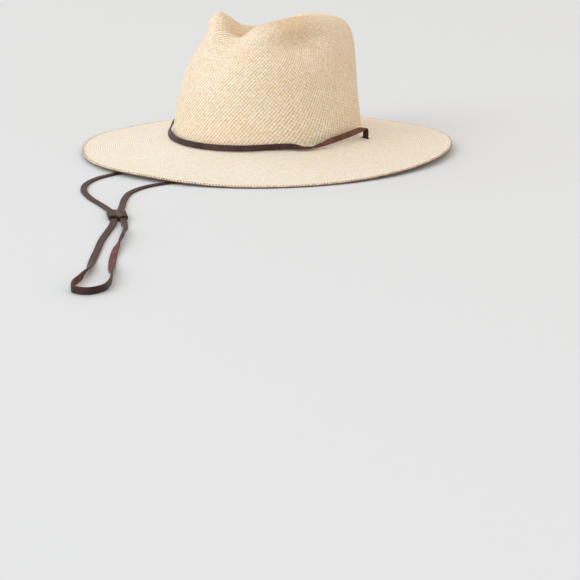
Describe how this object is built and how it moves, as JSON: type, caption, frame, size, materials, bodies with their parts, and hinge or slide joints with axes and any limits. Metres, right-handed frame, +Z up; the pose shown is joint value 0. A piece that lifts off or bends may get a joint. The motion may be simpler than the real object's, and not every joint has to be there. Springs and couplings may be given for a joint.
{
  "type": "straw fedora hat with a leather chin lace",
  "caption": "Wide-brimmed woven straw fedora with a creased and pinched crown, a flat leather lace round its front, and a chin lace with a slider.",
  "frame": {"origin": "on the surface that the hat rests on, under the middle of the crown's base; the hat's own box is centred 2 mm in front of it", "axes": "+Z up, -Y the hat's front, +X the wearer's left"},
  "size_m": [0.344, 0.7264, 0.1322],
  "materials": {
    "straw": "natural undyed straw, finely woven, satin",
    "lace_leather": "dark brown flat lace, smooth grain side and reddish flesh side",
    "slider_leather": "dark brown folded leather, satin"
  },
  "bodies": {
    "root": {"straw_body": "straw", "crown_lace": "lace_leather", "chin_lace": "lace_leather", "slider": "slider_leather"}
  },
  "joints": []
}
